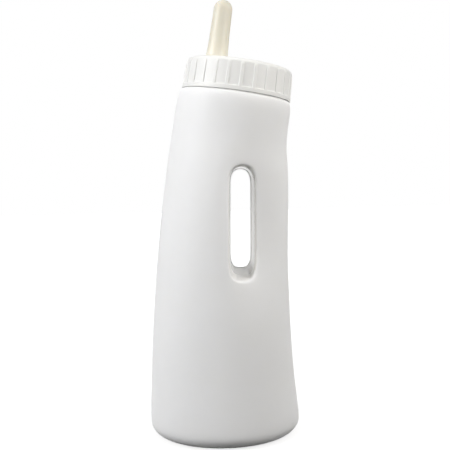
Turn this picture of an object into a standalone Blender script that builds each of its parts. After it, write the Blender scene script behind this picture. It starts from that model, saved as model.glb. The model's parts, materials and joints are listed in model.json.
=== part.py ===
"""Lamb feeding bottle: a blow-moulded two-litre bottle with a handle slot through it, and a wide screw cap.

The cap carries an off-centre rubber teat and a small ball valve that lets air in while the lamb drinks.
Units are metres, +Z is up, and the origin is the middle of the base. The slot runs through along Y,
the grip is on the +X side, and the neck leans towards +X.
"""

import math

import bmesh
import bpy
from mathutils import Matrix, Vector

MM = 0.001
FIT_GAP = 0.3 * MM

# Body outline in the middle plane: height of a section's middle, its left and right ends, and its lean.
BODY_SECTIONS = (
    (11.5 * MM, -59.5 * MM, 59.5 * MM, 0.0),
    (40.0 * MM, -58.1 * MM, 56.4 * MM, 0.0),
    (75.0 * MM, -56.1 * MM, 54.2 * MM, 0.0),
    (110.0 * MM, -53.2 * MM, 53.2 * MM, 1.1),
    (140.0 * MM, -50.1 * MM, 52.9 * MM, 2.7),
    (170.0 * MM, -46.3 * MM, 53.7 * MM, 4.4),
    (195.0 * MM, -42.6 * MM, 54.4 * MM, 5.7),
    (214.0 * MM, -39.5 * MM, 54.3 * MM, 6.8),
    (228.0 * MM, -36.9 * MM, 53.6 * MM, 7.5),
    (242.0 * MM, -34.4 * MM, 54.6 * MM, 8.3),
    (257.0 * MM, -31.3 * MM, 57.0 * MM, 9.0),
)
WALL = 1.8 * MM
HALF_COLUMNS = 20
HEIGHT_ROUNDS = 12

# Base: a flat ring to stand on, a shallow hollow inside it and a rounded edge outside it.
BASE_RADIUS = 59.5 * MM
BASE_CORNER = 10.5 * MM
BASE_HOLLOW_RADIUS = 36.0 * MM
BASE_HOLLOW_DEPTH = 3.0 * MM
BASE_HOLLOW_SHARES = (0.25, 0.65, 1.0)
BASE_RING_INNER = 42.0 * MM
BASE_CORNER_STEPS = 4
ROWS_BELOW_SLOT = tuple(height * MM for height in (25, 40, 56, 73, 90, 106))
ROWS_ABOVE_SLOT = tuple(height * MM for height in (222, 231, 240, 249, 257))

# Handle slot: its mouth on the body's face, and its narrower middle, where the two mould halves met.
# Both lean a little with the bottle, and their lower ends are squarer than their upper ones.
SLOT_ROWS = 11
SLOT_COLUMNS = 4
SLOT_FIRST_COLUMN = 6
SLOT_FIRST_HEIGHT = 120.5 * MM
SLOT_ROW_STEP = 8.5 * MM
SLOT_LEAN = math.radians(1.2)
MOUTH_CENTRE = Vector((15.8 * MM, 0.0, 167.1 * MM))
MOUTH_HALF_WIDTH = 10.0 * MM
MOUTH_HALF_HEIGHT = 43.1 * MM
MIDDLE_CENTRE = Vector((16.0 * MM, 0.0, 168.6 * MM))
MIDDLE_HALF_WIDTH = 8.1 * MM
MIDDLE_HALF_HEIGHT = 39.1 * MM
SLOT_LIP = 2.4 * MM
SLOT_LIP_STEPS = 3
SLOT_DEPTH_STEPS = 3
SLOT_REACH = 20.0 * MM
SLOT_BOTTOM_SQUARENESS = 0.2

# Dish that thins the grip: its middle and half sizes in the front view, and how far it draws the sides in.
DISH_CENTRE = Vector((38.0 * MM, 0.0, 164.0 * MM))
DISH_HALF_WIDTH = 40.0 * MM
DISH_HALF_HEIGHT = 62.0 * MM
DISH_POWER = 2.6
DISH_EDGE = 0.5
DISH_SHARE = 0.22

# Neck: its axis starts in the plane of the cap's lower edge.
NECK_FOOT = Vector((14.7 * MM, 0.0, 265.5 * MM))
NECK_LEAN = math.radians(9.0)
NECK_RADIUS = 38.0 * MM
NECK_HEIGHT = 19.1 * MM
SHOULDER_RADIUS = 44.7 * MM
SHOULDER_SHIFT = -0.5 * MM
SHOULDER_FOOT = -8.4 * MM
SHOULDER_TOP = -0.4 * MM
SHOULDER_FLAT = 41.2 * MM
SHOULDER_STEPS = 3
SHOULDER_FILLET = 0.5 * MM
NECK_ROW_SHARES = (0.02, 0.35, 0.7, 1.0)

# Screw cap, measured along the neck's axis from its lower edge. Its skirt narrows a little upwards.
CAP_FOOT_RADIUS = 42.8 * MM
CAP_RADIUS = 41.8 * MM
CAP_HEIGHT = 23.6 * MM
CAP_CORNER = 5.0 * MM
CAP_SKIRT = 2.0 * MM
CAP_TOP = 2.4 * MM
CAP_FOOT_EDGE = 0.5 * MM
CAP_MOUTH_EDGE = 0.4 * MM
CAP_INNER_CORNER = 1.0 * MM
CAP_FLAT_RADIUS = 19.0 * MM
CAP_STEPS = 78
CAP_CORNER_STEPS = 4
CAP_UNDERSIDE = CAP_HEIGHT - CAP_TOP
CAP_DRAFT = math.atan((CAP_FOOT_RADIUS - CAP_RADIUS) / (CAP_HEIGHT - CAP_CORNER))
RIB_COUNT = 26
RIB_WIDTH = 2.2 * MM
FIRST_RIB = math.radians(-88.2)
POCKET_DEPTH = 0.8 * MM
POCKET_BOTTOM = 2.7 * MM
POCKET_TOP = 19.6 * MM

# Flat seal between the neck's rim and the cap.
GASKET_OUTER = 38.6 * MM
GASKET_INNER = 34.6 * MM

# Pull-through teat: collar above the cap, groove in its hole and flange below it.
# Its side widens towards the collar, at heights above the cap's top.
TEAT_OFFSET = -18.8 * MM
TEAT_LENGTH = 47.7 * MM
TEAT_TIP_RADIUS = 7.2 * MM
TEAT_SIDE = ((30.0 * MM, 7.4 * MM), (18.0 * MM, 7.7 * MM), (9.0 * MM, 8.1 * MM), (4.5 * MM, 8.5 * MM))
TEAT_ROOT_RADIUS = 8.9 * MM
TEAT_BORE = 4.9 * MM
TEAT_TIP_WALL = 3.0 * MM
TEAT_HOLE = 0.8 * MM
TEAT_GROOVE = 6.1 * MM
TEAT_COLLAR = 9.8 * MM
TEAT_COLLAR_HEIGHT = 2.2 * MM
TEAT_FLANGE = 10.4 * MM
TEAT_FLANGE_HEIGHT = 3.2 * MM
TEAT_EDGE = 0.7 * MM
TEAT_STEPS = 28
TEAT_TIP_STEPS = 6
TEAT_BORE_STEPS = 4
TEAT_EDGE_STEPS = 2

# Air valve opposite the teat: a ball in a tube under the cap, held up by a pressed-in cage.
VENT_OFFSET = 20.0 * MM
VENT_HOLE = 1.5 * MM
VENT_TUBE_OUTER = 5.6 * MM
VENT_TUBE_INNER = 4.0 * MM
VENT_TUBE_LENGTH = 9.0 * MM
VENT_STEPS = 24
BALL_RADIUS = 3.0 * MM
BALL_TRAVEL = 1.2 * MM
CAGE_FLANGE_HEIGHT = 1.2 * MM
CAGE_SLOT_WIDTH = 1.2 * MM
CAGE_SLOT_LENGTH = 5.8 * MM


def clear_scene():
    """Removes every object, so that the model is alone in the file."""
    for obj in list(bpy.data.objects):
        bpy.data.objects.remove(obj)


def new_collection(name):
    """Adds a collection to the scene."""
    collection = bpy.data.collections.new(name)
    bpy.context.scene.collection.children.link(collection)
    return collection


def plastic(name, colour, roughness, metallic=0.0):
    """Principled material with one colour, given as sRGB values from 0 to 1."""
    material = bpy.data.materials.new(name)
    material.use_nodes = True
    shader = material.node_tree.nodes["Principled BSDF"]
    linear = [value ** 2.2 for value in colour]
    shader.inputs["Base Color"].default_value = (*linear, 1.0)
    shader.inputs["Roughness"].default_value = roughness
    shader.inputs["Metallic"].default_value = metallic
    material.diffuse_color = (*colour, 1.0)
    return material


def place(obj, collection, parent=None, location=(0.0, 0.0, 0.0)):
    """Links an object, hangs it on its parent and sets its place there."""
    collection.objects.link(obj)
    obj.parent = parent
    obj.location = location
    return obj


def axis_empty(name, collection, location, lean=0.0, parent=None):
    """Empty that marks an axis: its own Z is the axis."""
    empty = bpy.data.objects.new(name, None)
    empty.empty_display_type = "SINGLE_ARROW"
    empty.empty_display_size = 0.03
    empty.rotation_euler = (0.0, lean, 0.0)
    return place(empty, collection, parent, location)


def turned(name, profile, steps):
    """Object turned about its own Z from a profile of radius and height, outer side first, top to bottom."""
    mesh = bpy.data.meshes.new(name)
    points = [(radius, 0.0, height) for radius, height in profile]
    edges = [(index, index + 1) for index in range(len(points) - 1)]
    mesh.from_pydata(points, edges, [])
    obj = bpy.data.objects.new(name, mesh)
    screw = obj.modifiers.new("Turn", "SCREW")
    screw.axis = "Z"
    screw.steps = steps
    screw.render_steps = steps
    screw.use_merge_vertices = True
    screw.merge_threshold = 0.00001
    screw.use_smooth_shade = True
    return obj


def arc(centre, radius, start, end, steps):
    """Points on an arc in the plane of a profile, both ends included, with angles in degrees."""
    points = []
    for step in range(steps + 1):
        angle = math.radians(start + (end - start) * step / steps)
        points.append((centre[0] + radius * math.cos(angle), centre[1] + radius * math.sin(angle)))
    return points


def cut(obj, cutter, operation="DIFFERENCE"):
    """Adds a Boolean that stays live on the object."""
    boolean = obj.modifiers.new(cutter.name, "BOOLEAN")
    boolean.operation = operation
    boolean.solver = "EXACT"
    boolean.object = cutter


def make_cutter(cutter):
    """Marks an object as a tool that is not part of the bottle."""
    cutter.hide_render = True
    cutter.display_type = "WIRE"
    return cutter


def smooth_step(value):
    """Eases from 0 to 1 with level ends."""
    value = min(max(value, 0.0), 1.0)
    return value * value * (3.0 - 2.0 * value)


def section_at(height):
    """Middle, half width and lean of the body's section at a height, on a smooth curve through the outline."""
    last = len(BODY_SECTIONS) - 1
    first = max(i for i in range(last) if BODY_SECTIONS[i][0] <= height or i == 0)
    here, after = BODY_SECTIONS[first], BODY_SECTIONS[first + 1]
    before = BODY_SECTIONS[max(first - 1, 0)]
    beyond = BODY_SECTIONS[min(first + 2, last)]
    span = after[0] - here[0]
    share = (height - here[0]) / span
    values = []
    for index in (1, 2, 3):
        slope_here = (after[index] - before[index]) / (after[0] - before[0]) * span
        slope_after = (beyond[index] - here[index]) / (beyond[0] - here[0]) * span
        cubic = 2.0 * share ** 3 - 3.0 * share ** 2
        rise = (share ** 3 - 2.0 * share ** 2 + share) * slope_here + (share ** 3 - share ** 2) * slope_after
        values.append((cubic + 1.0) * here[index] - cubic * after[index] + rise)
    left, right, lean = values
    lean = math.radians(lean)
    return Vector(((left + right) / 2, 0.0, height)), (right - left) / 2 / math.cos(lean), lean


def dish_share(x, z):
    """How strongly the dish round the grip draws the sides in at a point of the front view."""
    across = abs(x - DISH_CENTRE.x) / DISH_HALF_WIDTH
    upright = abs(z - DISH_CENTRE.z) / DISH_HALF_HEIGHT
    radius = (across ** DISH_POWER + upright ** DISH_POWER) ** (1.0 / DISH_POWER)
    return DISH_SHARE * smooth_step((1.0 - radius) / DISH_EDGE)


def half_depth(x, z):
    """Distance of the body's front face from the middle plane at a point of the front view."""
    height = z
    for _ in range(HEIGHT_ROUNDS):
        middle, half_width, lean = section_at(height)
        height = z + (x - middle.x) * math.tan(lean)
    across = (x - middle.x) / (half_width * math.cos(lean))
    return half_width * math.sqrt(max(1.0 - across ** 2, 0.0)) * (1.0 - dish_share(x, z))


def round_end(across, upright, half_width, half_height):
    """Turns a point of a rectangle's grid into one of a slot's grid, with round ends above and below."""
    straight = half_height - half_width
    beyond = abs(upright) - straight
    if beyond <= 0.0:
        return across, upright
    size = max(abs(across), beyond)
    length = math.hypot(across, beyond)
    round_across = across * size / length
    round_beyond = beyond * size / length
    squareness = SLOT_BOTTOM_SQUARENESS if upright < 0.0 else 0.0
    round_across += (across - round_across) * squareness
    round_beyond += (beyond - round_beyond) * squareness
    return round_across, math.copysign(straight + round_beyond, upright)


def leaned(centre, across, upright):
    """Front-view point at a distance across and along the slot from its middle."""
    x = centre.x + across * math.cos(SLOT_LEAN) + upright * math.sin(SLOT_LEAN)
    z = centre.z + upright * math.cos(SLOT_LEAN) - across * math.sin(SLOT_LEAN)
    return x, z


def slot_point(column, row, centre, half_width, half_height):
    """Point of the slot's outline for a place on the rim of its window in the grid."""
    across = (SLOT_FIRST_COLUMN + SLOT_COLUMNS / 2 - column) / (SLOT_COLUMNS / 2) * half_width
    upright = (row - SLOT_ROWS / 2) / (SLOT_ROWS / 2) * half_height
    return leaned(centre, *round_end(across, upright, half_width, half_height))


def plain_point(height, column):
    """Front-view point of the plain body grid, before it is drawn round the slot."""
    middle, half_width, lean = section_at(height)
    across = half_width * math.cos(math.pi * column / HALF_COLUMNS)
    return middle.x + across * math.cos(lean), middle.z - across * math.sin(lean)


def slot_height(row):
    """Height of a row of the grid, counted from the slot's lowest."""
    return SLOT_FIRST_HEIGHT + SLOT_ROW_STEP * row


def drawn_point(height, row, column):
    """Front-view point of the body grid, drawn in so that its lines close round the slot's mouth."""
    x, z = plain_point(height, column)
    half_width = MOUTH_HALF_WIDTH + SLOT_LIP
    half_height = MOUTH_HALF_HEIGHT + SLOT_LIP
    edge = min(max(column, SLOT_FIRST_COLUMN), SLOT_FIRST_COLUMN + SLOT_COLUMNS)
    inner_row = min(max(row, 0), SLOT_ROWS)
    across = (SLOT_FIRST_COLUMN + SLOT_COLUMNS / 2 - edge) / (SLOT_COLUMNS / 2) * half_width
    across += x - plain_point(height, edge)[0]
    upright = (inner_row - SLOT_ROWS / 2) / (SLOT_ROWS / 2) * half_height
    upright += height - min(max(height, slot_height(0)), slot_height(SLOT_ROWS))
    distance = max(abs(across) - half_width, abs(upright) - half_height, 0.0)
    weight = 1.0 - smooth_step(distance / SLOT_REACH)
    mouth_x, mouth_z = leaned(MOUTH_CENTRE, *round_end(across, upright, half_width, half_height))
    return x + (mouth_x - x) * weight, z + (mouth_z - z) * weight


def base_rows():
    """Rows of the base, from the middle of its hollow out to the top of its rounded edge."""
    rings = [(BASE_HOLLOW_RADIUS * share, BASE_HOLLOW_DEPTH) for share in BASE_HOLLOW_SHARES]
    rings.append((BASE_RING_INNER, 0.0))
    corner = (BASE_RADIUS - BASE_CORNER, BASE_CORNER)
    rings += arc(corner, BASE_CORNER, -90, 0, BASE_CORNER_STEPS)
    rows = []
    for radius, height in rings:
        angles = [math.pi * column / HALF_COLUMNS for column in range(HALF_COLUMNS + 1)]
        rows.append([Vector((radius * math.cos(a), -radius * math.sin(a), height)) for a in angles])
    return rows


def body_row(height, row):
    """Row of the body's side: the grid point in the front view, brought out to the body's face."""
    points = []
    for column in range(HALF_COLUMNS + 1):
        x, z = drawn_point(height, row, column)
        on_seam = column in (0, HALF_COLUMNS)
        points.append(Vector((x, 0.0 if on_seam else -half_depth(x, z), z)))
    return points


def neck_rows():
    """Rows of the shoulder and the neck, in planes square to the neck's axis."""
    rings = []
    for step in range(1, SHOULDER_STEPS + 1):
        angle = math.radians(90.0 * step / SHOULDER_STEPS)
        radius = SHOULDER_FLAT + (SHOULDER_RADIUS - SHOULDER_FLAT) * math.cos(angle)
        height = SHOULDER_FOOT + (SHOULDER_TOP - SHOULDER_FOOT) * math.sin(angle)
        rings.append((radius, SHOULDER_SHIFT * math.cos(angle), height))
    rings.append((NECK_RADIUS + SHOULDER_FILLET, 0.0, SHOULDER_TOP))
    rings += [(NECK_RADIUS, 0.0, NECK_HEIGHT * share) for share in NECK_ROW_SHARES]
    lean = Matrix.Rotation(NECK_LEAN, 4, "Y")
    rows = []
    for radius, shift, height in rings:
        row = []
        for column in range(HALF_COLUMNS + 1):
            angle = math.pi * column / HALF_COLUMNS
            across = 0.0 if column in (0, HALF_COLUMNS) else -radius * math.sin(angle)
            row.append(NECK_FOOT + lean @ Vector((shift + radius * math.cos(angle), across, height)))
        rows.append(row)
    return rows


def window_rim(rows, first_row):
    """Places round the slot's window as column and row, once round, with their points."""
    right, left = SLOT_FIRST_COLUMN, SLOT_FIRST_COLUMN + SLOT_COLUMNS
    places = [(column, 0) for column in range(right, left)]
    places += [(left, row) for row in range(SLOT_ROWS)]
    places += [(column, SLOT_ROWS) for column in range(left, right, -1)]
    places += [(right, row) for row in range(SLOT_ROWS, 0, -1)]
    return [(column, row, rows[first_row + row][column]) for column, row in places]


def slot_rings(rim):
    """Rings of points from the slot's mouth round its lip and in to the middle plane."""
    rings = []
    for step in range(1, SLOT_LIP_STEPS + 1):
        angle = math.radians(90.0 * step / SLOT_LIP_STEPS)
        lip = SLOT_LIP * (1.0 - math.sin(angle))
        sink = SLOT_LIP * (1.0 - math.cos(angle))
        ring = []
        for column, row, point in rim:
            x, z = slot_point(column, row, MOUTH_CENTRE, MOUTH_HALF_WIDTH + lip, MOUTH_HALF_HEIGHT + lip)
            ring.append(Vector((x, point.y + sink, z)))
        rings.append(ring)
    mouth = rings[-1]
    for step in range(1, SLOT_DEPTH_STEPS + 1):
        share = step / SLOT_DEPTH_STEPS
        ring = []
        for (column, row, _), start in zip(rim, mouth):
            x, z = slot_point(column, row, MIDDLE_CENTRE, MIDDLE_HALF_WIDTH, MIDDLE_HALF_HEIGHT)
            ring.append(start.lerp(Vector((x, 0.0, z)), share))
        rings.append(ring)
    return rings


def make_bottle_body(collection, material):
    """Blow-moulded skin with the handle slot pinched through it: half a loft, mirrored and given its wall."""
    rows = base_rows() + [body_row(height, -1) for height in ROWS_BELOW_SLOT]
    first_row = len(rows)
    rows += [body_row(slot_height(row), row) for row in range(SLOT_ROWS + 1)]
    rows += [body_row(height, SLOT_ROWS + 1) for height in ROWS_ABOVE_SLOT]
    rows += neck_rows()

    bm = bmesh.new()
    grid = [[bm.verts.new(point) for point in row] for row in rows]
    bm.faces.new(grid[0])
    for row in range(len(grid) - 1):
        for column in range(HALF_COLUMNS):
            in_rows = first_row <= row < first_row + SLOT_ROWS
            in_columns = SLOT_FIRST_COLUMN <= column < SLOT_FIRST_COLUMN + SLOT_COLUMNS
            if in_rows and in_columns:
                continue
            low, high = grid[row], grid[row + 1]
            bm.faces.new((low[column + 1], low[column], high[column], high[column + 1]))

    rim = window_rim(grid, first_row)
    outer = [vert for _, _, vert in rim]
    for points in slot_rings([(column, row, vert.co) for column, row, vert in rim]):
        inner = [bm.verts.new(point) for point in points]
        for index in range(len(outer)):
            following = (index + 1) % len(outer)
            bm.faces.new((outer[following], outer[index], inner[index], inner[following]))
        outer = inner

    mesh = bpy.data.meshes.new("bottle_body")
    bm.to_mesh(mesh)
    bm.free()
    mesh.materials.append(material)
    mesh.shade_smooth()
    body = place(bpy.data.objects.new("bottle_body", mesh), collection)
    mirror = body.modifiers.new("Other half", "MIRROR")
    mirror.use_axis = (False, True, False)
    mirror.merge_threshold = 0.00001
    wall = body.modifiers.new("Wall", "SOLIDIFY")
    wall.thickness = WALL
    wall.offset = -1.0
    wall.use_even_offset = True
    return body


def make_pocket_cutter(cutters, parent):
    """Flat-bottomed pockets round the cap's skirt, which leave the grip ribs between them."""
    pitch = 2.0 * math.pi / RIB_COUNT
    width = 2.0 * CAP_RADIUS * math.sin((pitch - RIB_WIDTH / CAP_RADIUS) / 2)
    depth = POCKET_DEPTH * 3
    middle = (POCKET_TOP + POCKET_BOTTOM) / 2
    radius = CAP_FOOT_RADIUS - middle * math.tan(CAP_DRAFT)
    size = Matrix.Diagonal((depth, width, POCKET_TOP - POCKET_BOTTOM, 1.0))
    tilt = Matrix.Rotation(-CAP_DRAFT, 4, "Y")
    centre = Matrix.Translation((radius - POCKET_DEPTH + depth / 2, 0.0, middle))
    bm = bmesh.new()
    for index in range(RIB_COUNT):
        turn = Matrix.Rotation(FIRST_RIB + pitch * (index + 0.5), 4, "Z")
        bmesh.ops.create_cube(bm, size=1.0, matrix=turn @ centre @ tilt @ size)
    mesh = bpy.data.meshes.new("pocket_cutter")
    bm.to_mesh(mesh)
    bm.free()
    return place(make_cutter(bpy.data.objects.new("pocket_cutter", mesh)), cutters, parent)


def make_screw_cap(collection, cutters, axis, material):
    """Wide cap: turned shell, pockets between its ribs, the teat's hole and the tube of the air valve."""
    inner = CAP_RADIUS - CAP_SKIRT
    inner_foot = CAP_FOOT_RADIUS - CAP_SKIRT
    profile = [(0.0, CAP_HEIGHT), (CAP_FLAT_RADIUS, CAP_HEIGHT)]
    corner = (CAP_RADIUS - CAP_CORNER, CAP_HEIGHT - CAP_CORNER)
    profile += arc(corner, CAP_CORNER, 90, 0, CAP_CORNER_STEPS)
    profile += [(CAP_FOOT_RADIUS, CAP_FOOT_EDGE), (CAP_FOOT_RADIUS - CAP_FOOT_EDGE, 0.0)]
    profile += [(inner_foot + CAP_MOUTH_EDGE, 0.0), (inner_foot, CAP_MOUTH_EDGE)]
    profile += [(inner, CAP_UNDERSIDE - CAP_INNER_CORNER), (inner - CAP_INNER_CORNER, CAP_UNDERSIDE)]
    profile += [(CAP_FLAT_RADIUS, CAP_UNDERSIDE), (0.0, CAP_UNDERSIDE)]
    cap = place(turned("screw_cap", profile, CAP_STEPS), collection, axis)
    cap.data.materials.append(material)
    cut(cap, make_pocket_cutter(cutters, axis))

    tube_foot = CAP_UNDERSIDE - VENT_TUBE_LENGTH
    tube_head = CAP_UNDERSIDE + CAP_TOP / 2
    tube_profile = [(VENT_TUBE_INNER, tube_head), (VENT_TUBE_OUTER, tube_head)]
    tube_profile += [(VENT_TUBE_OUTER, tube_foot), (VENT_TUBE_INNER, tube_foot), (VENT_TUBE_INNER, tube_head)]
    tube = turned("vent_tube", tube_profile, VENT_STEPS)
    cut(cap, place(make_cutter(tube), cutters, axis, (VENT_OFFSET, 0.0, 0.0)), "UNION")

    overshoot = 2.0 * MM
    holes = (
        ("teat_hole", TEAT_OFFSET, TEAT_GROOVE + FIT_GAP, TEAT_STEPS),
        ("vent_hole", VENT_OFFSET, VENT_HOLE, VENT_STEPS),
    )
    for name, offset, radius, steps in holes:
        top = CAP_HEIGHT + overshoot
        bottom = CAP_UNDERSIDE - overshoot
        hole = turned(name, [(0.0, top), (radius, top), (radius, bottom), (0.0, bottom)], steps)
        cut(cap, place(make_cutter(hole), cutters, axis, (offset, 0.0, 0.0)))
    return cap


def make_cap_gasket(collection, axis, material):
    """Flat ring of soft rubber that seals the rim of the neck."""
    top = CAP_UNDERSIDE - FIT_GAP
    bottom = NECK_HEIGHT + FIT_GAP
    profile = [(GASKET_INNER, top), (GASKET_OUTER, top), (GASKET_OUTER, bottom)]
    profile += [(GASKET_INNER, bottom), (GASKET_INNER, top)]
    gasket = place(turned("cap_gasket", profile, 2 * HALF_COLUMNS), collection, axis)
    gasket.data.materials.append(material)
    return gasket


def make_teat(collection, axis, material):
    """Hollow pull-through teat, open below, with a drinking hole in its tip."""
    tip_centre = (0.0, CAP_HEIGHT + TEAT_LENGTH - TEAT_TIP_RADIUS)
    hole_angle = 90.0 - math.degrees(math.asin(TEAT_HOLE / TEAT_TIP_RADIUS))
    collar_foot = CAP_HEIGHT + FIT_GAP
    collar_top = collar_foot + TEAT_COLLAR_HEIGHT
    flange_top = CAP_UNDERSIDE - FIT_GAP
    flange_foot = flange_top - TEAT_FLANGE_HEIGHT
    edge = TEAT_EDGE
    profile = arc(tip_centre, TEAT_TIP_RADIUS, hole_angle, 0, TEAT_TIP_STEPS)
    profile += [(radius, CAP_HEIGHT + height) for height, radius in TEAT_SIDE]
    profile += [(TEAT_ROOT_RADIUS, collar_top)]
    profile += arc((TEAT_COLLAR - edge, collar_top - edge), edge, 90, 0, TEAT_EDGE_STEPS)
    profile += [(TEAT_COLLAR, collar_foot), (TEAT_GROOVE, collar_foot), (TEAT_GROOVE, flange_top)]
    profile += arc((TEAT_FLANGE - edge, flange_top - edge), edge, 90, 0, TEAT_EDGE_STEPS)
    profile += arc((TEAT_FLANGE - edge, flange_foot + edge), edge, 0, -90, TEAT_EDGE_STEPS)
    profile += [(TEAT_BORE + edge, flange_foot), (TEAT_BORE, flange_foot + edge)]
    dome_centre = (0.0, CAP_HEIGHT + TEAT_LENGTH - TEAT_TIP_WALL - TEAT_BORE)
    inner_hole_angle = 90.0 - math.degrees(math.asin(TEAT_HOLE / TEAT_BORE))
    profile += arc(dome_centre, TEAT_BORE, 0, inner_hole_angle, TEAT_BORE_STEPS)
    profile.append(profile[0])
    teat = place(turned("teat", profile, TEAT_STEPS), collection, axis, (TEAT_OFFSET, 0.0, 0.0))
    teat.data.materials.append(material)
    return teat


def ball_height():
    """Height of the ball's middle when it lies on the cage, just clear of it."""
    seat = CAP_UNDERSIDE - math.sqrt(BALL_RADIUS ** 2 - VENT_HOLE ** 2)
    return seat - FIT_GAP - BALL_TRAVEL


def make_vent_cage(collection, cutters, axis, material):
    """Pressed-in cage below the ball: a flanged plug with a cross of slots for the air."""
    slot_half = CAGE_SLOT_WIDTH / 2
    plug_top = ball_height() - FIT_GAP - math.sqrt(BALL_RADIUS ** 2 - 2 * slot_half ** 2)
    flange_top = CAP_UNDERSIDE - VENT_TUBE_LENGTH - FIT_GAP
    plug_radius = VENT_TUBE_INNER - FIT_GAP
    flange_foot = flange_top - CAGE_FLANGE_HEIGHT
    profile = [(0.0, plug_top), (plug_radius - FIT_GAP, plug_top), (plug_radius, plug_top - FIT_GAP)]
    profile += [(plug_radius, flange_top), (VENT_TUBE_OUTER, flange_top), (VENT_TUBE_OUTER, flange_foot)]
    profile += [(0.0, flange_foot)]
    cage = place(turned("vent_cage", profile, VENT_STEPS), collection, axis, (VENT_OFFSET, 0.0, 0.0))
    cage.data.materials.append(material)
    height = plug_top - flange_foot
    middle = Matrix.Translation((0.0, 0.0, (plug_top + flange_foot) / 2))
    for index in range(2):
        size = Matrix.Diagonal((CAGE_SLOT_LENGTH, CAGE_SLOT_WIDTH, height * 2, 1.0))
        bm = bmesh.new()
        bmesh.ops.create_cube(bm, size=1.0, matrix=Matrix.Rotation(index * math.pi / 2, 4, "Z") @ middle @ size)
        mesh = bpy.data.meshes.new("cage_slot")
        bm.to_mesh(mesh)
        bm.free()
        slot = make_cutter(bpy.data.objects.new("cage_slot_" + str(index + 1), mesh))
        cut(cage, place(slot, cutters, axis, (VENT_OFFSET, 0.0, 0.0)))
    return cage


def make_vent_ball(collection, axis, material):
    """Steel ball that shuts the air hole when the bottle is tipped up and nothing is drawn from it."""
    bm = bmesh.new()
    bmesh.ops.create_uvsphere(bm, u_segments=16, v_segments=10, radius=BALL_RADIUS)
    mesh = bpy.data.meshes.new("vent_ball")
    bm.to_mesh(mesh)
    bm.free()
    mesh.materials.append(material)
    mesh.shade_smooth()
    ball = bpy.data.objects.new("vent_ball", mesh)
    return place(ball, collection, axis, (VENT_OFFSET, 0.0, ball_height()))


def build():
    """Makes the bottle and its cap, each piece in its place."""
    clear_scene()
    parts = new_collection("lamb_feeding_bottle")
    cutters = new_collection("cutters")
    milky = plastic("natural_polyethylene", (0.87, 0.87, 0.86), 0.42)
    white = plastic("white_polypropylene", (0.94, 0.94, 0.93), 0.35)
    latex = plastic("cream_rubber", (0.91, 0.89, 0.83), 0.5)
    seal = plastic("grey_seal_rubber", (0.62, 0.62, 0.6), 0.7)
    steel = plastic("stainless_steel", (0.75, 0.75, 0.76), 0.2, 1.0)

    neck_axis = axis_empty("neck_axis", parts, NECK_FOOT, NECK_LEAN)
    make_bottle_body(parts, milky)
    make_screw_cap(parts, cutters, neck_axis, white)
    make_cap_gasket(parts, neck_axis, seal)
    make_teat(parts, neck_axis, latex)
    make_vent_cage(parts, cutters, neck_axis, white)
    make_vent_ball(parts, neck_axis, steel)


build()
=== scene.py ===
# %% [markdown]
# # A lamb feeding bottle
# The bottle holds about two litres of warm milk. Its body is blown from natural polyethylene in a
# two-part mould, which also pinches the slot that the hand goes through. A white screw cap carries a
# soft rubber teat and, opposite it, a small ball valve that lets air in while the lamb drinks.
# The solids come from the construction script, at their real size. This lesson gives each piece its
# fine shape and its finish, around those solids.

# %% Load the solids
import math

import bmesh
import bpy
from mathutils import Matrix, Vector
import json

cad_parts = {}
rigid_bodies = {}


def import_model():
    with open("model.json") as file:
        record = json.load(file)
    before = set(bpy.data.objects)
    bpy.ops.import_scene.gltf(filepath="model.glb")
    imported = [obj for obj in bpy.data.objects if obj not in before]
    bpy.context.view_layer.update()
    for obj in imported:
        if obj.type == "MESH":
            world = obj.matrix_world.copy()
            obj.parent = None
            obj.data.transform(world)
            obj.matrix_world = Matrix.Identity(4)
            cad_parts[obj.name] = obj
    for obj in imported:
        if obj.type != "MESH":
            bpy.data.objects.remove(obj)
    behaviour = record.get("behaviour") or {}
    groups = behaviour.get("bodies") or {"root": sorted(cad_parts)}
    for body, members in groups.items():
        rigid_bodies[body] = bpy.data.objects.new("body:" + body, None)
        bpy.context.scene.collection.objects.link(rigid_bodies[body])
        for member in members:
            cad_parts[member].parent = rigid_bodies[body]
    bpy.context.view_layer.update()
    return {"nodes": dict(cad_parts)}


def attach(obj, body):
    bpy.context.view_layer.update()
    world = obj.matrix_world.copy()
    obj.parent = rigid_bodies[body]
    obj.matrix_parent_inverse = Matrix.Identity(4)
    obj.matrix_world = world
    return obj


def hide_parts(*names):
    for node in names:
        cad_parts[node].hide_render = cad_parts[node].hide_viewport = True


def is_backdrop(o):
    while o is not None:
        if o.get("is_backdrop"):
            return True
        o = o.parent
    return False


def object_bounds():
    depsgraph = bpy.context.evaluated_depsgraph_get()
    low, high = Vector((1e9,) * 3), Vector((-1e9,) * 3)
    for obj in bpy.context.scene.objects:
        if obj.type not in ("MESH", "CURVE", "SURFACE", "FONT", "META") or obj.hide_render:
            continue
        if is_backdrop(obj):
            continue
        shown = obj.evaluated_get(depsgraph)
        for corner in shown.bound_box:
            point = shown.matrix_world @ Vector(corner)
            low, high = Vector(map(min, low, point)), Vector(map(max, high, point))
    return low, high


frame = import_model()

MM = 0.001
TINY = 0.01 * MM

# %% [markdown]
# ## The camera
# The photograph looks at the bottle almost level, from nearly straight in front of the slot. The upright
# lines of the bottle lean in the picture by 1.4 degrees, so the camera is rolled by that much. A camera
# is added like any object; its turn is built from three simple turns, one after the other.

# %% Place the camera
FOCAL_LENGTH = 66.1
CAMERA_DISTANCE = 0.653
CAMERA_HEIGHT = 0.2029
CAMERA_SHIFT = 0.0036
CAMERA_AZIMUTH = math.radians(-1.0)
CAMERA_PITCH = math.radians(3.46)
CAMERA_ROLL = math.radians(1.4)

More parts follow.
